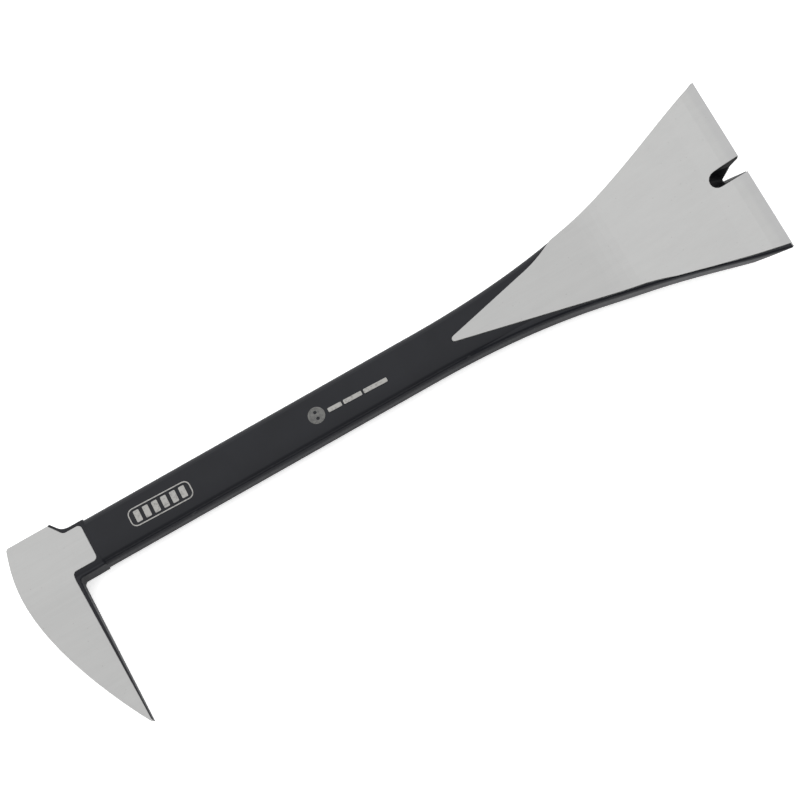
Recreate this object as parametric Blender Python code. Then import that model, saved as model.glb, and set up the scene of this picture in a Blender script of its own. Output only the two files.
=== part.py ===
"""A ten-inch moulding bar: one steel forging with a flared, slotted prying blade at one end and a
square-set pick at the other, a baked black coating, and faces ground bright through the coating.

It lies on its back. +X runs from the pick head to the blade's edge, the pick points to -Y, and
the marked front face looks up to +Z. The origin is under the middle of the whole bar.
"""

import math

import bmesh
import bpy
import numpy as np

MM = 0.001

# ---- Driving sizes, all in metres ----

# Whole bar and its shank
OVERALL_LENGTH = 254.0 * MM
SHANK_WIDTH = 15.7 * MM
SHANK_THICKNESS = 6.5 * MM
SHANK_EDGE_RADIUS = 1.75 * MM

# Blade: a flare that also bends up out of the shank's plane
BLADE_LENGTH = 111.0 * MM
BLADE_WIDTH = 61.0 * MM
BLADE_THICKNESS = 4.4 * MM        # where the back bevel starts
BLADE_EDGE_THICKNESS = 0.6 * MM
BLADE_EDGE_RADIUS = 0.8 * MM      # of the flanks
BACK_BEVEL_LENGTH = 12.0 * MM
EDGE_GRIND_LENGTH = 5.5 * MM
BEND_LENGTH = 55.0 * MM           # the part of the blade that is bent
BEND_RADIUS = 60.0 * MM
BEND_ANGLE = math.radians(12.0)

# Head: a flat poll above the shank and a curved pick below it
HEAD_WIDTH = 18.4 * MM            # from the outer curve to the inner corner
HEAD_EXTRA_THICKNESS = 0.1 * MM   # that the head's faces stand over the shank's
POLL_RISE = 3.8 * MM              # over the shank's upper edge
POLL_LENGTH = 15.3 * MM
POLL_INSET = 2.5 * MM             # of the poll's outer corner from the outer curve
POLL_CORNER_RADIUS = 1.2 * MM
NECK_LENGTH = 27.4 * MM           # from the outer curve to the end of the head's root
NECK_DROP = 0.1 * MM              # that the root is deeper than the shank
PICK_REACH = 56.9 * MM            # from the bar's middle line to the point
PICK_POINT_INSET = 17.6 * MM      # of the point from the outer curve
PICK_POINT_WIDTH = 0.7 * MM
PICK_POINT_THICKNESS = 3.0 * MM
PICK_POINT_EASE = 0.2 * MM        # rounding of the rims at the point
INNER_CORNER_RADIUS = 1.5 * MM
HEAD_EDGE_RADIUS = 0.6 * MM
BELLY_DROP = 4.7 * MM             # of the outer curve's furthest point below the middle line
ROOT_FADE = 3.0 * MM              # over which the root runs out into the shank
SCOOP_START = 4.0 * MM            # from the root's end to where the scoop to the poll starts

# Ground faces: low raised lands on both sides of the head and the blade
LAND_RISE = 0.45 * MM
LAND_EDGE_RISE = 0.05 * MM        # what is left of it at the blade's edge
LAND_SETBACK = 0.10 * MM          # of a land from the flank that it runs out to
BLADE_LAND_LENGTH = 104.8 * MM    # from the V's sharp apex to the blade's edge
BLADE_LAND_SLOPE = 0.240          # half width gained along the straight sides of the V
BLADE_LAND_SHIFT = -0.35 * MM     # of the V's middle line from the bar's
BLADE_LAND_MARGIN = 0.5 * MM      # coated border left along the -Y flank
BLADE_CORNER_MARGIN = 1.3 * MM    # of the same border at the edge's corner
BLADE_LAND_RUNOUT = 60.0 * MM     # from the edge: where the V runs out over the +Y flank
BLADE_LAND_SWEEP = 12.0 * MM      # over which it bends out to there
BLADE_LAND_BORDER = 34.0 * MM     # from the edge: where it meets the border on the -Y side
BLADE_LAND_BLEND = 9.0 * MM       # over which that side turns to follow the flank
APEX_RADIUS = 0.9 * MM
HEAD_LAND_LENGTH = 26.2 * MM      # from the outer curve
HEAD_LAND_MARGIN = 0.4 * MM
HEAD_LAND_RADIUS = 1.3 * MM
HEAD_LAND_TOP_MARGIN = 1.0 * MM   # coated border under the shank's upper edge
HEAD_LAND_LOW_MARGIN = 2.4 * MM   # and over its lower edge
HEAD_LAND_THROAT = 0.7 * MM       # that the land is narrower at the pick's root
HEAD_LAND_TIP_MARGIN = 0.2 * MM
SCOOP_BORDER_FOOT = 3.3 * MM      # where the border follows the scoop down from the poll
SCOOP_BORDER_TOP = 0.7 * MM

# Nail slot: a V through the edge, its walls opening towards the front
SLOT_FRONT_WIDTH = 5.8 * MM
SLOT_BACK_WIDTH = 4.0 * MM
SLOT_FRONT_DEPTH = 10.9 * MM
SLOT_BACK_DEPTH = 7.6 * MM
SLOT_FRONT_RADIUS = 2.75 * MM
SLOT_BACK_RADIUS = 0.55 * MM

# Coating and printed marks
COAT_GAP = 0.05 * MM
COAT_THICKNESS = 0.15 * MM
LAND_GAP = 0.10 * MM              # round each land, where the coating stops
LAND_WALL = 0.75 * MM             # of bright steel below a bare face, where a land meets a flank
COAT_EDGE_CLEARANCE = 0.4 * MM    # at the blade's edge
INK_THICKNESS = 0.06 * MM
INK_GAP = 0.03 * MM
MARK_TILT = math.radians(-1.5)
PLATE_MARK_INSET = 50.8 * MM      # of its middle from the outer curve
PLATE_MARK_LENGTH = 21.2 * MM
PLATE_MARK_WIDTH = 6.0 * MM
PLATE_MARK_LINE = 0.35 * MM
PLATE_MARK_CORNER = 2.0 * MM
PLATE_BAR_COUNT = 6
PLATE_BAR_LENGTH = 3.8 * MM
PLATE_BAR_WIDTH = 1.9 * MM
PLATE_BAR_PITCH = 3.1 * MM
DISC_MARK_INSET = 105.1 * MM
DISC_MARK_DIAMETER = 5.4 * MM
LENS_HOLE_DIAMETER = 1.1 * MM
LENS_HOLE_OFFSET = 1.05 * MM      # of each from the disc's middle, across the bar
MARK_CORNER = 0.3 * MM
CAPTION_INSET = 108.9 * MM        # of its start
CAPTION_DROP = 0.35 * MM          # of its line from the disc's middle
CAPTION_DASH_LENGTHS = (4.6 * MM, 6.2 * MM, 8.0 * MM)
CAPTION_SPACE = 0.7 * MM
CAPTION_HEIGHT = 1.4 * MM

# ---- Places that follow from them ----

EDGE_X = OVERALL_LENGTH / 2
BACK_X = -OVERALL_LENGTH / 2
ROOT_X = EDGE_X - BLADE_LENGTH
HALF_SHANK = SHANK_WIDTH / 2
FACE_Z = SHANK_THICKNESS / 2
HEAD_FACE_Z = FACE_Z + HEAD_EXTRA_THICKNESS
POLL_Y = HALF_SHANK + POLL_RISE
ROOT_BOTTOM_Y = -HALF_SHANK - NECK_DROP
COAT_GROWTH = COAT_GAP + COAT_THICKNESS
INK_Z = FACE_Z + COAT_GROWTH + INK_GAP

CORNER_STEPS = 4
CURVE_STEPS = 14
WEB_STATIONS = 44
LEAST_STEP = 0.6 * MM             # between stations along the web
FAR = 20.0 * MM                   # further than anything is thick
PAST = 1.0 * MM                   # that a tool runs past what it cuts


def bezier(start, first, second, end, steps=CURVE_STEPS):
    """Points along a cubic curve, both ends included."""
    curve = [np.array(point, float) for point in (start, first, second, end)]
    weights = []
    for t in np.linspace(0.0, 1.0, steps + 1):
        weights.append(((1 - t) ** 3, 3 * t * (1 - t) ** 2, 3 * t * t * (1 - t), t ** 3))
    return [tuple(sum(w * p for w, p in zip(row, curve))) for row in weights]


def rounded(corners):
    """An outline from (x, y, radius) corners, each radius drawn as an arc."""
    outline = []
    count = len(corners)
    for index, (x, y, radius) in enumerate(corners):
        here = np.array((x, y))
        before = np.array(corners[index - 1][:2]) - here
        after = np.array(corners[(index + 1) % count][:2]) - here
        if radius <= 0:
            outline.append((x, y))
            continue
        into = before / np.linalg.norm(before)
        out = after / np.linalg.norm(after)
        half_angle = math.acos(max(-1.0, min(1.0, float(into @ out)))) / 2
        reach = radius / math.tan(half_angle)
        reach = min(reach, 0.48 * np.linalg.norm(before), 0.48 * np.linalg.norm(after))
        radius = reach * math.tan(half_angle)
        middle = here + (into + out) / np.linalg.norm(into + out) * radius / math.sin(half_angle)
        first = here + into * reach - middle
        last = here + out * reach - middle
        turn = math.atan2(first[0] * last[1] - first[1] * last[0], float(first @ last))
        for step in range(CORNER_STEPS + 1):
            angle = turn * step / CORNER_STEPS
            cos, sin = math.cos(angle), math.sin(angle)
            spoke = np.array((first[0] * cos - first[1] * sin, first[0] * sin + first[1] * cos))
            outline.append(tuple(middle + spoke))
    return outline


def grown(outline, distance, shares=None):
    """An anticlockwise outline moved outwards by a distance, or by a share of it at each point."""
    points = [np.array(point) for point in outline]
    shares = shares or [1.0] * len(points)
    moved = []
    for index, here in enumerate(points):
        ahead = points[(index + 1) % len(points)] - here
        behind = here - points[index - 1]
        normal_a = np.array((behind[1], -behind[0])) / np.linalg.norm(behind)
        normal_b = np.array((ahead[1], -ahead[0])) / np.linalg.norm(ahead)
        mitre = (normal_a + normal_b) / (1 + float(normal_a @ normal_b))
        moved.append(tuple(here + mitre * distance * shares[index]))
    return moved


def make_object(name, vertices, faces):
    mesh = bpy.data.meshes.new(name)
    mesh.from_pydata([tuple(vertex) for vertex in vertices], [], faces)
    mesh.validate()
    obj = bpy.data.objects.new(name, mesh)
    bpy.context.scene.collection.objects.link(obj)
    return obj


def loft(name, rings, twisted=False):
    """A closed solid through rings of the same number of points, the first and last filled.

    Sides that twist are drawn as triangles, so that a nested loft bends the same way.
    """
    count = len(rings[0])
    vertices = [point for ring in rings for point in ring]
    faces = [tuple(reversed(range(count)))]
    for ring in range(len(rings) - 1):
        for index in range(count):
            a = ring * count + index
            b = ring * count + (index + 1) % count
            if twisted:
                faces += [(a, b, b + count), (a, b + count, a + count)]
            else:
                faces.append((a, b, b + count, a + count))
    last = (len(rings) - 1) * count
    faces.append(tuple(range(last, last + count)))
    return make_object(name, vertices, faces)


def prism(name, outline, low, high):
    """An anticlockwise outline stood up between two heights."""
    rings = [[(x, y, low) for x, y in outline], [(x, y, high) for x, y in outline]]
    return loft(name, rings)


def as_cutter(obj):
    obj.hide_render = True
    obj.display_type = 'WIRE'
    return obj


def combine(obj, operation, *others):
    """Union, difference or intersection with each of the others, which stay as guides."""
    for other in others:
        modifier = obj.modifiers.new(operation.lower() + '_' + other.name, 'BOOLEAN')
        modifier.operation = operation
        modifier.solver = 'EXACT'
        modifier.object = as_cutter(other)
    return obj


# ---- Shank and blade ----

def bend_rise(x):
    """How far the blade's middle has bent up at x."""
    along = x - (EDGE_X - BEND_LENGTH)
    if along <= 0:
        return 0.0
    arc = BEND_RADIUS * math.sin(BEND_ANGLE)
    if along < arc:
        return BEND_RADIUS - math.sqrt(BEND_RADIUS ** 2 - along ** 2)
    return BEND_RADIUS * (1 - math.cos(BEND_ANGLE)) + (along - arc) * math.tan(BEND_ANGLE)


def faces_at(x):
    """Heights of the bare back and front faces at x, without lands."""
    bevel_start = EDGE_X - BACK_BEVEL_LENGTH
    bent = EDGE_X - BEND_LENGTH
    share = min(max((x - bent) / (bevel_start - bent), 0.0), 1.0)
    thickness = SHANK_THICKNESS + (BLADE_THICKNESS - SHANK_THICKNESS) * share
    low = -thickness / 2
    high = thickness / 2
    if x > bevel_start:
        bevel = min((x - bevel_start) / BACK_BEVEL_LENGTH, 1.0)
        low += (BLADE_THICKNESS - BLADE_EDGE_THICKNESS) * bevel
    return bend_rise(x) + low, bend_rise(x) + high


FLARE = bezier((0, 0), (0.56, 0), (0.78, 0.72), (1, 1), steps=60)
FLARE_ALONG = [point[0] for point in FLARE]
FLARE_SHARE = [point[1] for point in FLARE]


def half_width(x):
    share = np.interp((x - ROOT_X) / BLADE_LENGTH, FLARE_ALONG, FLARE_SHARE)
    return HALF_SHANK + (BLADE_WIDTH / 2 - HALF_SHANK) * float(share)


def land_rise(x):
    """Height of a land over the bare face; it runs out towards the blade's edge."""
    share = min(max((EDGE_X - x) / EDGE_GRIND_LENGTH, 0.0), 1.0)
    return LAND_EDGE_RISE + (LAND_RISE - LAND_EDGE_RISE) * share


def section(half, low, high, radius):
    """Corner-rounded rectangle as (y, z) points."""
    corners = ((half, high), (-half, high), (-half, low), (half, low))
    return rounded([(y, z, radius) for y, z in corners])


def web_stations(start, end):
    """Places along X: one long step down the straight shank, close ones along the blade."""
    breaks = [EDGE_X - BACK_BEVEL_LENGTH, EDGE_X - EDGE_GRIND_LENGTH, EDGE_X]
    places = list(breaks)
    for x in np.linspace(ROOT_X, EDGE_X, WEB_STATIONS):
        if all(abs(x - fixed) > LEAST_STEP for fixed in breaks):
            places.append(float(x))
    inside = [x for x in places if x < end - LEAST_STEP]
    return sorted([start, *inside, end])


def web(name, growth=0.0, lifted=False, end=EDGE_X, widen=0.0, wall=0.0, radius=None):
    """The shank and blade as one loft: grown all round, lifted by the lands, widened or thinned."""
    rings = []
    for x in web_stations(BACK_X + 0.4 * HEAD_WIDTH, end):
        low, high = faces_at(min(x, EDGE_X))
        rise = land_rise(x) if lifted else -min(wall, 0.4 * (high - low))
        share = min(max((x - ROOT_X) / BLADE_LENGTH, 0.0), 1.0)
        corner = SHANK_EDGE_RADIUS + (BLADE_EDGE_RADIUS - SHANK_EDGE_RADIUS) * share
        corner = min(corner, 0.45 * (high - low)) + growth if radius is None else radius
        points = section(half_width(x) + growth + widen, low - growth - rise,
                         high + growth + rise, corner)
        rings.append([(x, y, z) for y, z in points])
    return loft(name, rings)


# ---- Head ----

def head_outline():
    """The head and its root in plan, anticlockwise from the poll's outer corner."""
    poll_inner = (BACK_X + POLL_INSET + POLL_LENGTH, POLL_Y)
    belly = (BACK_X, -BELLY_DROP)
    tip_x = BACK_X + PICK_POINT_INSET
    root_x = BACK_X + NECK_LENGTH
    neck_x = root_x - SCOOP_START
    shank_top = HALF_SHANK + HEAD_EXTRA_THICKNESS
    corner = rounded([
        (*poll_inner, 0.0),
        (BACK_X + POLL_INSET, POLL_Y, POLL_CORNER_RADIUS),
        (*belly, 0.0),
    ])[1:-1]
    upper_back = bezier(corner[-1], (BACK_X + 0.36 * POLL_INSET, 0.7 * HALF_SHANK),
                        (BACK_X, 0.12 * HALF_SHANK), belly, steps=7)
    lower_back = bezier(belly, (BACK_X, -BELLY_DROP - 0.31 * PICK_REACH),
                        (BACK_X + 0.58 * PICK_POINT_INSET, -0.77 * PICK_REACH),
                        (tip_x, -PICK_REACH))
    inner = rounded([
        (tip_x + PICK_POINT_WIDTH, -PICK_REACH, 0.0),
        (BACK_X + HEAD_WIDTH, ROOT_BOTTOM_Y, INNER_CORNER_RADIUS),
        (root_x - ROOT_FADE, ROOT_BOTTOM_Y, 0.0),
        (root_x, -HALF_SHANK, 0.0),
    ])
    rise = POLL_Y - shank_top
    scoop = bezier((neck_x, shank_top), (neck_x - 0.9 * SCOOP_START, shank_top),
                   (poll_inner[0] + 0.5 * rise, POLL_Y - 0.6 * rise), poll_inner, steps=8)
    return [*corner[:-1], *upper_back, *lower_back[1:], *inner, (root_x, shank_top), *scoop]


def pick_taper(y):
    """Thickness of the pick at y, as a share of the head's."""
    along = (ROOT_BOTTOM_Y - y) / (PICK_REACH + ROOT_BOTTOM_Y)
    least = PICK_POINT_THICKNESS / (2 * HEAD_FACE_Z)
    return 1.0 + (least - 1.0) * max(along, 0.0)


def head(name, growth=0.0, rise=0.0, radius=HEAD_EDGE_RADIUS):
    """The head as its outline stood up, with eased rims and a pick that thins to its point."""
    outline = grown(head_outline(), growth)
    height = HEAD_FACE_Z + rise
    levels = [(0.0, 0.0)]
    if radius > 0:
        for step in range(CORNER_STEPS + 1):
            angle = math.pi / 2 * step / CORNER_STEPS
            levels.append((radius * (1 - math.cos(angle)), radius * math.sin(angle)))
        levels = [(inset, height - radius + lift) for inset, lift in levels[1:]]
    else:
        levels = [(0.0, height)]
    stack = [(inset, -z) for inset, z in reversed(levels)] + levels
    near_point = [PICK_POINT_EASE + 0.25 * (y + PICK_REACH + growth) for x, y in outline]
    shares = [min(1.0, near / max(radius, PICK_POINT_EASE)) for near in near_point]
    rings = []
    for inset, z in stack:
        ring = grown(outline, -inset, shares)
        rings.append([(x, y, z) for x, y in ring])
    solid = loft(name, rings)
    shape = bmesh.new()
    shape.from_mesh(solid.data)
    everything = shape.verts[:] + shape.edges[:] + shape.faces[:]
    bmesh.ops.bisect_plane(shape, geom=everything, dist=0.01 * MM,
                           plane_co=(0, ROOT_BOTTOM_Y, 0), plane_no=(0, 1, 0))
    for vertex in shape.verts:
        side = math.copysign(1.0, vertex.co.z)
        vertex.co.z = vertex.co.z * pick_taper(vertex.co.y) + side * growth
    shape.to_mesh(solid.data)
    shape.free()
    return solid


# ---- Lands and openings ----

def blade_land_outline():
    """The V of the blade's ground face in plan, anticlockwise, run past the edge."""
    apex_x = EDGE_X - BLADE_LAND_LENGTH
    runout_x = EDGE_X - BLADE_LAND_RUNOUT
    blend_x = EDGE_X - BLADE_LAND_BORDER - BLADE_LAND_BLEND
    straight_x = runout_x - BLADE_LAND_SWEEP
    past_edge = EDGE_X + FAR
    lower = []
    for x in np.linspace(blend_x, EDGE_X, 24):
        straight = (x - apex_x) * BLADE_LAND_SLOPE - BLADE_LAND_SHIFT
        corner = max(1.0 - (EDGE_X - x) / (2 * BACK_BEVEL_LENGTH), 0.0)
        margin = BLADE_LAND_MARGIN + (BLADE_CORNER_MARGIN - BLADE_LAND_MARGIN) * corner
        border = half_width(x) - margin
        share = min((x - blend_x) / BLADE_LAND_BLEND, 1.0)
        lower.append((float(x), -straight - (border - straight) * share))
    lower.append((past_edge, lower[-1][1]))
    upper = [(past_edge, BLADE_WIDTH), (runout_x + BLADE_LAND_SWEEP, BLADE_WIDTH)]
    for x in np.linspace(runout_x, straight_x, 7):
        straight = (x - apex_x) * BLADE_LAND_SLOPE + BLADE_LAND_SHIFT
        beyond = half_width(x) + LAND_GAP + COAT_GROWTH
        share = (x - straight_x) / BLADE_LAND_SWEEP
        upper.append((float(x), straight + (beyond - straight) * share ** 2))
    tip = rounded([upper[-1] + (0.0,), (apex_x, BLADE_LAND_SHIFT, APEX_RADIUS), lower[0] + (0.0,)])
    return [*tip[1:-1], *lower, *upper]


def head_land_outline():
    """The head's ground face in plan, anticlockwise, run past the outer curve and the poll."""
    poll_x = BACK_X + POLL_INSET + POLL_LENGTH
    right = BACK_X + HEAD_LAND_LENGTH
    inner = BACK_X + HEAD_WIDTH - HEAD_LAND_MARGIN
    tip_x = BACK_X + PICK_POINT_INSET + PICK_POINT_WIDTH - HEAD_LAND_TIP_MARGIN
    outside = BACK_X - FAR
    high = HALF_SHANK - HEAD_LAND_TOP_MARGIN
    low = -HALF_SHANK + HEAD_LAND_LOW_MARGIN
    border_top = poll_x - SCOOP_BORDER_TOP
    return rounded([
        (border_top, POLL_Y + FAR, 0.0),
        (outside, POLL_Y + FAR, 0.0),
        (outside, -PICK_REACH - FAR, 0.0),
        (tip_x, -PICK_REACH - FAR, 0.0),
        (tip_x, -PICK_REACH, 0.0),
        (inner - HEAD_LAND_THROAT, ROOT_BOTTOM_Y, 2 * HEAD_LAND_RADIUS),
        (inner - HEAD_LAND_THROAT / 2, low, HEAD_LAND_RADIUS),
        (right, low, HEAD_LAND_RADIUS),
        (right, high, HEAD_LAND_RADIUS),
        (border_top + SCOOP_BORDER_FOOT, high, 1.5 * HEAD_LAND_RADIUS),
        (border_top, POLL_Y - HEAD_LAND_TIP_MARGIN, 0.0),
    ])


def slot_ring(width, depth, radius, height, inset):
    """The slot's outline at one height of the flat blade, run past the edge."""
    mouth = width / 2 - inset
    root = radius - inset
    outline = [(EDGE_X + FAR, -mouth), (EDGE_X + FAR, mouth), (EDGE_X, mouth)]
    middle = EDGE_X - depth + radius
    for step in range(2 * CORNER_STEPS + 1):
        angle = math.pi / 2 + math.pi * step / (2 * CORNER_STEPS)
        outline.append((middle + root * math.cos(angle), root * math.sin(angle)))
    outline.append((EDGE_X, -mouth))
    shear = math.tan(BEND_ANGLE)
    return [(x - height * shear, y, height + bend_rise(EDGE_X)
             + (min(x, EDGE_X) - EDGE_X) * shear) for x, y in outline]


def slot_tool(name, inset=0.0):
    """The nail slot as a solid, from well behind the blade to well in front of it."""
    front = (SLOT_FRONT_WIDTH, SLOT_FRONT_DEPTH, SLOT_FRONT_RADIUS)
    back = (SLOT_BACK_WIDTH, SLOT_BACK_DEPTH, SLOT_BACK_RADIUS)
    return loft(name, [
        slot_ring(*back, -FAR, inset),
        slot_ring(*back, -BLADE_THICKNESS / 4, inset),
        slot_ring(*front, BLADE_THICKNESS / 2, inset),
        slot_ring(*front, FAR, inset),
    ], twisted=True)


def finish(obj, color, roughness, metallic, sharp=35.0):
    """Give a node its material and smooth its round faces."""
    material = bpy.data.materials.new(obj.name + '_finish')
    material.use_nodes = True
    shader = material.node_tree.nodes['Principled BSDF']
    shader.inputs['Base Color'].default_value = (*color, 1.0)
    shader.inputs['Roughness'].default_value = roughness
    shader.inputs['Metallic'].default_value = metallic
    obj.data.materials.clear()
    obj.data.materials.append(material)
    obj.data.shade_smooth()
    obj.data.set_sharp_from_angle(angle=math.radians(sharp))
    return obj


def build_forging():
    """The one piece of steel: shank, blade and head, with their lands and the nail slot."""
    blade_land = combine(web('land_blade_stock', lifted=True, widen=-LAND_SETBACK, radius=0.0),
                         'INTERSECT', prism('land_blade_plan', blade_land_outline(), -FAR, FAR))
    head_rise = LAND_RISE - HEAD_EXTRA_THICKNESS + LAND_SETBACK
    head_land = combine(head('land_head_stock', growth=-LAND_SETBACK, rise=head_rise, radius=0.0),
                        'INTERSECT', prism('land_head_plan', head_land_outline(), -FAR, FAR))
    bar = web('forged_bar')
    combine(bar, 'UNION', head('head_stock'), blade_land, head_land)
    combine(bar, 'DIFFERENCE', slot_tool('slot_cutter'))
    bar.modifiers[-1].solver = 'MANIFOLD'  # EXACT leaves open edges at the land's corners
    return finish(bar, (0.56, 0.56, 0.55), 0.35, 1.0)


def build_coating():
    """The baked coating, a skin on every face that isn't ground.

    The head is ground all round its outer curve and its poll. The blade is only ground on its
    faces, so its flanks keep their coating below a bright wall.
    """
    blade_core = web('coat_blade_core', wall=LAND_WALL, end=EDGE_X + PAST, widen=FAR, radius=0.0)
    blade_open = combine(prism('coat_blade_opening', grown(blade_land_outline(), LAND_GAP),
                               -FAR, FAR), 'DIFFERENCE', blade_core)
    head_open = prism('coat_head_opening', grown(head_land_outline(), LAND_GAP), -FAR, FAR)
    coat = web('black_coating', growth=COAT_GROWTH, end=EDGE_X - COAT_EDGE_CLEARANCE)
    combine(coat, 'UNION', head('coat_head', growth=COAT_GROWTH))
    combine(coat, 'DIFFERENCE', web('coat_web_inside', growth=COAT_GAP, end=EDGE_X + PAST),
            head('coat_head_inside', growth=COAT_GAP), blade_open, head_open)
    return finish(coat, (0.035, 0.037, 0.042), 0.45, 0.0)


def build_slot_coating():
    """The coating that is left on the walls of the nail slot."""
    skin = slot_tool('nail_slot_coating', inset=COAT_GAP)
    trim = web('slot_coat_trim', growth=-COAT_GAP, lifted=True, end=EDGE_X - COAT_EDGE_CLEARANCE)
    combine(skin, 'DIFFERENCE', slot_tool('slot_coat_inside', inset=COAT_GROWTH))
    combine(skin, 'INTERSECT', trim)
    return finish(skin, (0.03, 0.03, 0.033), 0.5, 0.0)


# ---- Printed marks ----

def stadium(length, height, radius):
    """A rounded bar in plan about the origin."""
    corners = ((length / 2, height / 2), (-length / 2, height / 2),
               (-length / 2, -height / 2), (length / 2, -height / 2))
    return rounded([(x, y, radius) for x, y in corners])


def circle(radius, steps=28):
    turns = [2 * math.pi * step / steps for step in range(steps)]
    return [(radius * math.cos(angle), radius * math.sin(angle)) for angle in turns]


def ink(name, outer, place, hole=None):
    """A thin flat mark on the shank's coating, turned a little off the bar's line."""
    def layer(points, z):
        cos, sin = math.cos(MARK_TILT), math.sin(MARK_TILT)
        return [(place[0] + x * cos - y * sin, place[1] + x * sin + y * cos, z) for x, y in points]

    low, high = INK_Z, INK_Z + INK_THICKNESS
    if hole is None:
        mark = loft(name, [layer(outer, low), layer(outer, high)])
    else:
        count = len(outer)
        vertices = layer(outer, low) + layer(outer, high) + layer(hole, high) + layer(hole, low)
        faces = []
        for ring in range(4):
            for index in range(count):
                ahead = (index + 1) % count
                following = (ring + 1) % 4
                faces.append((ring * count + index, ring * count + ahead,
                              following * count + ahead, following * count + index))
        mark = make_object(name, vertices, faces)
    return finish(mark, (0.72, 0.72, 0.70), 0.55, 0.0)


def build_plate_mark():
    """A plain outlined plate with a row of upright bars in it."""
    middle = (BACK_X + PLATE_MARK_INSET, 0.0)
    line = PLATE_MARK_LINE
    outer = stadium(PLATE_MARK_LENGTH, PLATE_MARK_WIDTH, PLATE_MARK_CORNER)
    hole = stadium(PLATE_MARK_LENGTH - 2 * line, PLATE_MARK_WIDTH - 2 * line,
                   PLATE_MARK_CORNER - line)
    ink('plate_mark_frame', outer, middle, hole)
    bar = stadium(PLATE_BAR_WIDTH, PLATE_BAR_LENGTH, MARK_CORNER)
    for number in range(PLATE_BAR_COUNT):
        along = (number - (PLATE_BAR_COUNT - 1) / 2) * PLATE_BAR_PITCH
        place = (middle[0] + along * math.cos(MARK_TILT), along * math.sin(MARK_TILT))
        ink(f'plate_mark_bar_{number + 1}', bar, place)


def build_care_mark():
    """A disc with two lens holes through it, and three dashes after it."""
    middle = (BACK_X + DISC_MARK_INSET, 0.0)
    disc = ink('care_mark_disc', circle(DISC_MARK_DIAMETER / 2), middle)
    for number, offset in enumerate((-LENS_HOLE_OFFSET, LENS_HOLE_OFFSET)):
        lens = [(middle[0] + x, middle[1] + offset + y) for x, y in circle(LENS_HOLE_DIAMETER / 2)]
        combine(disc, 'DIFFERENCE', prism(f'lens_hole_tool_{number + 1}', lens, -FAR, FAR))
    along = BACK_X + CAPTION_INSET
    for number, length in enumerate(CAPTION_DASH_LENGTHS):
        centre = along + length / 2
        place = (centre, (centre - middle[0]) * math.tan(MARK_TILT) - CAPTION_DROP)
        ink(f'care_mark_dash_{number + 1}', stadium(length, CAPTION_HEIGHT, MARK_CORNER), place)
        along += length + CAPTION_SPACE


def stand_on_origin():
    """Move everything so that the origin is under the middle of the whole bar."""
    bpy.context.view_layer.update()
    depsgraph = bpy.context.evaluated_depsgraph_get()
    corners = []
    for obj in bpy.context.scene.objects:
        if not obj.hide_render:
            mesh = obj.evaluated_get(depsgraph).data
            corners += [obj.matrix_world @ vertex.co for vertex in mesh.vertices]
    low = [min(corner[axis] for corner in corners) for axis in range(3)]
    high = [max(corner[axis] for corner in corners) for axis in range(3)]
    for obj in bpy.context.scene.objects:
        obj.location.x -= (low[0] + high[0]) / 2
        obj.location.y -= (low[1] + high[1]) / 2
        obj.location.z -= low[2]


for old in list(bpy.data.objects):
    bpy.data.objects.remove(old, do_unlink=True)

build_forging()
build_coating()
build_slot_coating()
build_plate_mark()
build_care_mark()
stand_on_origin()
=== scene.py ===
"""A ten-inch moulding bar on a pale table: one steel forging with a baked black coating, faces ground
bright through it, and two small printed marks."""
import math

import bpy
from mathutils import Matrix, Vector


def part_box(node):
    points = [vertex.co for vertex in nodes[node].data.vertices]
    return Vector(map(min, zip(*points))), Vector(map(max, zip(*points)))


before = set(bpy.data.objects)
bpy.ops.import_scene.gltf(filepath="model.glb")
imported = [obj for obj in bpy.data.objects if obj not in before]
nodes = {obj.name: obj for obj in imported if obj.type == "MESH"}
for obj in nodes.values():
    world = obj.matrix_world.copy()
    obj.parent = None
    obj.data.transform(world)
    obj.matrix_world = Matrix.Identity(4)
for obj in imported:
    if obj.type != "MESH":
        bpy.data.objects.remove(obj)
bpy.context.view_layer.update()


# The bar itself is one drop forging in medium-carbon spring steel. Its head and blade are ground on a belt
# after coating, which leaves a fine satin grain along the bar, and the blade's edge is then dressed across
# on a finer wheel, which leaves its lines the other way. The band along the edge is also painted a little
# darker, as painted shade of the ground bevel there.

def new_material(name):
    material = bpy.data.materials.new(name)
    material.use_nodes = True
    return material, material.node_tree, material.node_tree.nodes["Principled BSDF"]


def place(tree, kind, inputs=(), **settings):
    """Add a node, set its fields, then feed or set its numbered or named inputs."""
    node = tree.nodes.new(kind)
    for field, value in settings.items():
        setattr(node, field, value)
    for socket, value in dict(inputs).items():
        if isinstance(value, bpy.types.NodeSocket):
            tree.links.new(value, node.inputs[socket])
        else:
            node.inputs[socket].default_value = value
    return node


def stretched(tree, along, across, deep):
    """Object coordinates squeezed or stretched on each axis, in cycles per metre."""
    where = place(tree, "ShaderNodeTexCoord")
    scale = {0: where.outputs["Object"], 3: (along, across, deep)}
    return place(tree, "ShaderNodeMapping", scale).outputs[0]


def grain(tree, where, size, detail=3.0, roughness=0.6):
    return place(tree, "ShaderNodeTexNoise", {"Vector": where, "Scale": size, "Detail": detail,
                                              "Roughness": roughness}).outputs["Fac"]


def between(tree, value, start, end, low=0.0, high=1.0):
    """Follow a value from start to end with an eased step from low to high."""
    step = {"Value": value, "From Min": start, "From Max": end, "To Min": low, "To Max": high}
    return place(tree, "ShaderNodeMapRange", step, interpolation_type="SMOOTHSTEP").outputs[0]


def sums(tree, operation, a, b):
    return place(tree, "ShaderNodeMath", {0: a, 1: b}, operation=operation).outputs[0]


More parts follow.
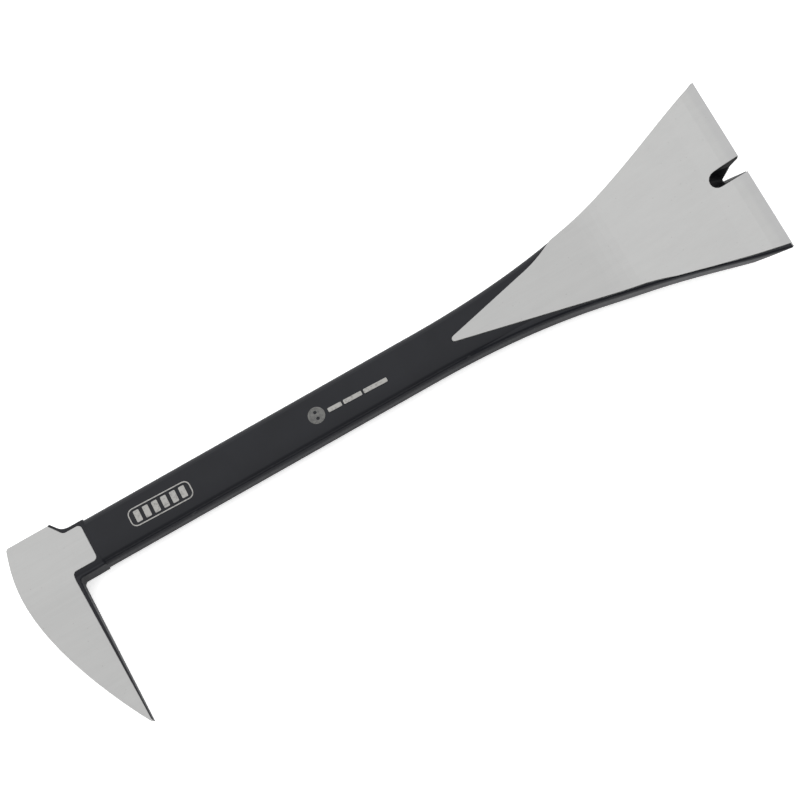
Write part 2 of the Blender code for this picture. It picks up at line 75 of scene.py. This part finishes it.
def shaded(tree, factor, first, second, blend="MIX"):
    """Mix two colours, which may be fed or fixed."""
    node = place(tree, "ShaderNodeMix", data_type="RGBA", blend_type=blend)
    for socket, value in ((0, factor), (6, first), (7, second)):
        if isinstance(value, bpy.types.NodeSocket):
            tree.links.new(value, node.inputs[socket])
        else:
            node.inputs[socket].default_value = value
    return node.outputs[2]


def dressed(node, material, crease):
    """Give a CAD solid its finish and smooth its rounded faces."""
    node.data.materials.clear()
    node.data.materials.append(material)
    node.data.shade_smooth()
    node.data.set_sharp_from_angle(angle=math.radians(crease))


hard_crease = 28
bar_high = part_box("forged_bar")[1]
edge_x = bar_high[0]
edge_band = 0.0032
edge_band_solid = 0.4 * edge_band
edge_wander = 0.0012

steel, tree, shader = new_material("belt_ground_steel")
belt_lines = grain(tree, stretched(tree, 60, 2600, 2600), 1.0, 5.0, 0.7)
belt_streaks = grain(tree, stretched(tree, 22, 420, 420), 1.0, 3.0)
mottle = grain(tree, stretched(tree, 1, 1, 1), 130.0, 4.0)
wheel_lines = grain(tree, stretched(tree, 3200, 90, 900), 1.0, 4.0, 0.7)
pits = place(tree, "ShaderNodeTexVoronoi", {"Vector": stretched(tree, 1, 1, 1), "Scale": 420.0})
pit = between(tree, pits.outputs["Distance"], 0.10, 0.03)

along = place(tree, "ShaderNodeSeparateXYZ", {0: stretched(tree, 1, 1, 1)}).outputs["X"]
wander = sums(tree, "MULTIPLY", mottle, edge_wander)
# The edge band mask picks the finer wheel's lines and a painted shade of the ground bevel.
edge_grind_and_shade = between(tree, sums(tree, "ADD", along, wander), edge_x - edge_band, edge_x - edge_band_solid)

lines = shaded(tree, edge_grind_and_shade, belt_lines, wheel_lines)
tone = sums(tree, "ADD", between(tree, mottle, 0.25, 0.75, -0.018, 0.018),
            between(tree, belt_streaks, 0.2, 0.8, -0.016, 0.016))
tone = sums(tree, "ADD", tone, between(tree, lines, 0.2, 0.8, -0.030, 0.030))
tone = sums(tree, "ADD", tone, 1.0)
light_steel = (0.362, 0.362, 0.359, 1)
# Painted shade: the steel of the edge band is a little darker, for the shade of the ground bevel there.
edge_shade_steel = (0.343, 0.343, 0.343, 1)
pit_steel = (0.24, 0.235, 0.225, 1)
ground = shaded(tree, edge_grind_and_shade, light_steel, edge_shade_steel)
ground = shaded(tree, sums(tree, "MULTIPLY", pit, 0.5), ground, pit_steel)
ground = shaded(tree, 1.0, ground, tone, "MULTIPLY")
tree.links.new(ground, shader.inputs["Base Color"])
shader.inputs["Metallic"].default_value = 1.0
wear = sums(tree, "ADD", between(tree, lines, 0.2, 0.8, 0.34, 0.46),
            between(tree, mottle, 0.3, 0.7, -0.03, 0.03))
tree.links.new(wear, shader.inputs["Roughness"])
scratches = place(tree, "ShaderNodeBump", {"Strength": 0.22, "Distance": 0.00003, "Height": lines})
tree.links.new(scratches.outputs[0], shader.inputs["Normal"])
dressed(nodes["forged_bar"], steel, hard_crease)


# The coating is a black stoving lacquer, sprayed on and baked after forging. It is a satin blue-black
# with a little orange peel from the spray gun. Along its rounded corners it is painted lighter in patches,
# partly where handling has worn it thin and partly as a painted highlight on the rounding. It is rougher on
# the flanks, over the forging scale, though less so where the blade was drawn out thin.

coat, tree, shader = new_material("baked_black_coating")
everywhere = stretched(tree, 1, 1, 1)
spot = place(tree, "ShaderNodeSeparateXYZ", {0: everywhere})
peel = grain(tree, everywhere, 1500.0, 2.0)
clouds = grain(tree, everywhere, 70.0, 3.0)
fine = grain(tree, everywhere, 5200.0, 3.0)
rubs = grain(tree, stretched(tree, 240, 900, 900), 1.0, 5.0, 0.7)

facing = place(tree, "ShaderNodeNewGeometry").outputs["Normal"]
upright = place(tree, "ShaderNodeSeparateXYZ", {0: facing}).outputs["Z"]
# Rounded corners, found by the way the face points. The lighter patches on them are partly wear and partly
# a painted highlight.
corner = sums(tree, "MULTIPLY", between(tree, upright, 0.35, 0.62), between(tree, upright, 0.95, 0.80))
wear_and_sheen_mask = sums(tree, "MULTIPLY", corner, between(tree, rubs, 0.60, 0.72))

deep_black = (0.0025, 0.0032, 0.0060, 1)
dusty_black = (0.0047, 0.0056, 0.0090, 1)
# Partly wear and partly painted highlight: the lighter black of the rounded corners.
wear_and_sheen_black = (0.060, 0.061, 0.063, 1)
lacquer = shaded(tree, between(tree, clouds, 0.35, 0.7), deep_black, dusty_black)
lacquer = shaded(tree, sums(tree, "MULTIPLY", fine, 0.35), lacquer, dusty_black)
lacquer = shaded(tree, sums(tree, "MULTIPLY", wear_and_sheen_mask, 0.7), lacquer, wear_and_sheen_black)
tree.links.new(lacquer, shader.inputs["Base Color"])
shader.inputs["Specular IOR Level"].default_value = 0.26
satin = sums(tree, "ADD", between(tree, clouds, 0.3, 0.7, 0.30, 0.37),
             between(tree, fine, 0.3, 0.7, -0.02, 0.02))
flank = between(tree, upright, 0.25, 0.65, 1.0, 0.0)
scale_fades_x = edge_x - 0.082
drawn_thin_x = edge_x - 0.042
scale_left = between(tree, spot.outputs["X"], scale_fades_x, drawn_thin_x, 0.26, 0.07)
scaly = sums(tree, "MULTIPLY", flank, scale_left)
tree.links.new(sums(tree, "ADD", satin, scaly), shader.inputs["Roughness"])
skin = sums(tree, "ADD", peel, sums(tree, "MULTIPLY", fine, sums(tree, "ADD", 0.25, flank)))
orange_peel = place(tree, "ShaderNodeBump", {"Strength": 0.25, "Distance": 0.00004, "Height": skin})

# The face is shaded as if it fell away towards its near corner. This is bump only: the solid is flat.
plate_low, plate_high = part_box("plate_mark_frame")
middle_y = (plate_low[1] + plate_high[1]) / 2
roll_reach = 0.0072
roll_drop = 0.00085
into_roll = place(tree, "ShaderNodeMapRange", {"Value": spot.outputs["Y"], "From Min": middle_y,
                                               "From Max": middle_y - roll_reach}).outputs[0]
roll = sums(tree, "MULTIPLY", sums(tree, "POWER", into_roll, 4.0), -1.0)
rolled = place(tree, "ShaderNodeBump", {"Strength": 1.0, "Distance": roll_drop, "Height": roll,
                                        "Normal": orange_peel.outputs[0]})
tree.links.new(rolled.outputs[0], shader.inputs["Normal"])
dressed(nodes["black_coating"], coat, hard_crease)


# The nail slot is punched hot and its walls keep the same coating, thinner and a little rougher
# because the spray only just reaches into it. It is painted darker and less glossy than outside, as painted
# shade in the slot's recess.

slot_coat, tree, shader = new_material("slot_wall_shaded_coating")
speckle = grain(tree, stretched(tree, 1, 1, 1), 1900.0, 4.0)
# Painted shade: the slot's black is darker and less glossy than the coating outside, for the shade in its
# recess.
slot_shade_black = (0.0018, 0.0020, 0.0028, 1)
slot_shade_dust = (0.0050, 0.0052, 0.0060, 1)
dark = shaded(tree, speckle, slot_shade_black, slot_shade_dust)
tree.links.new(dark, shader.inputs["Base Color"])
tree.links.new(between(tree, speckle, 0.3, 0.7, 0.32, 0.44), shader.inputs["Roughness"])
shader.inputs["Specular IOR Level"].default_value = 0.16
rough_wall = place(tree, "ShaderNodeBump", {"Strength": 0.35, "Distance": 0.00006, "Height": speckle})
tree.links.new(rough_wall.outputs[0], shader.inputs["Normal"])
dressed(nodes["nail_slot_coating"], slot_coat, hard_crease)


# The plate mark is pad-printed on the front of the shank in one pass of off-white ink: an outlined
# plate with six upright bars. The ink is a few hundredths thick and slightly uneven where it is thin.

def pad_ink(name, thin_colour, full_colour, full_from, least_cover):
    """Printing ink that lies thin in patches, where the black under it shows through."""
    material, tree, shader = new_material(name)
    patchy = grain(tree, stretched(tree, 1, 1, 1), 1300.0, 4.0)
    cover = between(tree, patchy, 0.34, full_from, least_cover, 1.0)
    tree.links.new(shaded(tree, cover, thin_colour, full_colour), shader.inputs["Base Color"])
    tree.links.new(between(tree, patchy, 0.3, 0.7, 0.62, 0.50), shader.inputs["Roughness"])
    shader.inputs["Specular IOR Level"].default_value = 0.3
    film = place(tree, "ShaderNodeBump", {"Strength": 0.2, "Distance": 0.00002, "Height": patchy})
    tree.links.new(film.outputs[0], shader.inputs["Normal"])
    return material


ink_crease = 40
white_ink = pad_ink("off_white_ink", (0.08, 0.08, 0.08, 1), (0.36, 0.355, 0.34, 1), 0.50, 0.55)
plate_pieces = ["plate_mark_frame"] + [f"plate_mark_bar_{number}" for number in range(1, 7)]
for name in plate_pieces:
    dressed(nodes[name], white_ink, ink_crease)


# The care mark is printed with the same pad a little further along: a disc with two lens holes, and
# three dashes where a caption would be. The disc took less ink than the dashes, so it is greyer.

grey_ink = pad_ink("thin_ink", (0.05, 0.05, 0.05, 1), (0.14, 0.14, 0.135, 1), 0.60, 0.5)
dressed(nodes["care_mark_disc"], grey_ink, ink_crease)
for name in [f"care_mark_dash_{number}" for number in range(1, 4)]:
    dressed(nodes[name], white_ink, ink_crease)


# The bar lies on a plain pale light table, six metres square so that it runs out of sight. Its opal
# top glows a little from below, which keeps the bar's shadow faint.

table_reach = 3.0
table_mesh = bpy.data.meshes.new("table_top")
table_corners = [(-table_reach, -table_reach, 0), (table_reach, -table_reach, 0),
                 (table_reach, table_reach, 0), (-table_reach, table_reach, 0)]
table_mesh.from_pydata(table_corners, [], [(0, 1, 2, 3)])
table = bpy.data.objects.new("table_top", table_mesh)
bpy.context.scene.collection.objects.link(table)
opal, tree, shader = new_material("opal_top")
shader.inputs["Base Color"].default_value = (0.93, 0.93, 0.93, 1)
shader.inputs["Roughness"].default_value = 0.9
shader.inputs["Specular IOR Level"].default_value = 0.2
shader.inputs["Emission Color"].default_value = (1, 1, 1, 1)
shader.inputs["Emission Strength"].default_value = 0.54
table_mesh.materials.append(opal)


# The light is a white studio tent: even overhead, brightest high up behind the bar, a little brighter at
# the head's end, and darker on the near side where the opening of the tent is.

tent = bpy.data.worlds.new("white_tent")
bpy.context.scene.world = tent
tent.use_nodes = True
tree = tent.node_tree
toward = place(tree, "ShaderNodeSeparateXYZ", {0: place(tree, "ShaderNodeTexCoord").outputs["Generated"]})
near_wall = between(tree, toward.outputs["Z"], 0.34, 0.16, 0.08, 0.50)
far_wall = between(tree, toward.outputs["Z"], 0.45, 0.75, 1.10, 2.6)
behind = between(tree, toward.outputs["Y"], -0.45, 0.45)
wall = sums(tree, "ADD", near_wall, sums(tree, "MULTIPLY", behind, far_wall))
overhead = 1.32
down_wall = between(tree, toward.outputs["Z"], 0.97, 0.50)
lit = sums(tree, "ADD", overhead, sums(tree, "MULTIPLY", down_wall, sums(tree, "SUBTRACT", wall, overhead)))
lit = sums(tree, "MULTIPLY", lit, between(tree, toward.outputs["X"], -0.9, 0.9, 1.16, 0.90))
tree.links.new(lit, tree.nodes["Background"].inputs["Strength"])
tree.nodes["Background"].inputs["Color"].default_value = (1, 1, 1, 1)


# The camera looks down on the bar from a little in front, about a metre away, with a narrow view. It is
# turned so that the bar rises to the right.

camera_tilt = math.radians(18.0)
camera_roll = math.radians(29.5)
camera_distance = 0.98
view_width = 0.24256
aim = Vector((0.00242, 0.00555, 0.00375))
out = Vector((0.0, -math.sin(camera_tilt), math.cos(camera_tilt)))
across = Vector((0.0, math.cos(camera_tilt), math.sin(camera_tilt)))
lengthwise = Vector((1.0, 0.0, 0.0))
right = lengthwise * math.cos(camera_roll) - across * math.sin(camera_roll)
up = lengthwise * math.sin(camera_roll) + across * math.cos(camera_roll)
camera_data = bpy.data.cameras.new("camera")
camera_data.sensor_width = 36.0
camera_data.lens = camera_data.sensor_width * camera_distance / view_width
camera = bpy.data.objects.new("camera", camera_data)
bpy.context.scene.collection.objects.link(camera)
turn = Matrix((right, up, out)).transposed().to_4x4()
camera.matrix_world = Matrix.Translation(aim + out * camera_distance) @ turn
bpy.context.scene.camera = camera
bpy.context.scene.view_settings.view_transform = "Standard"
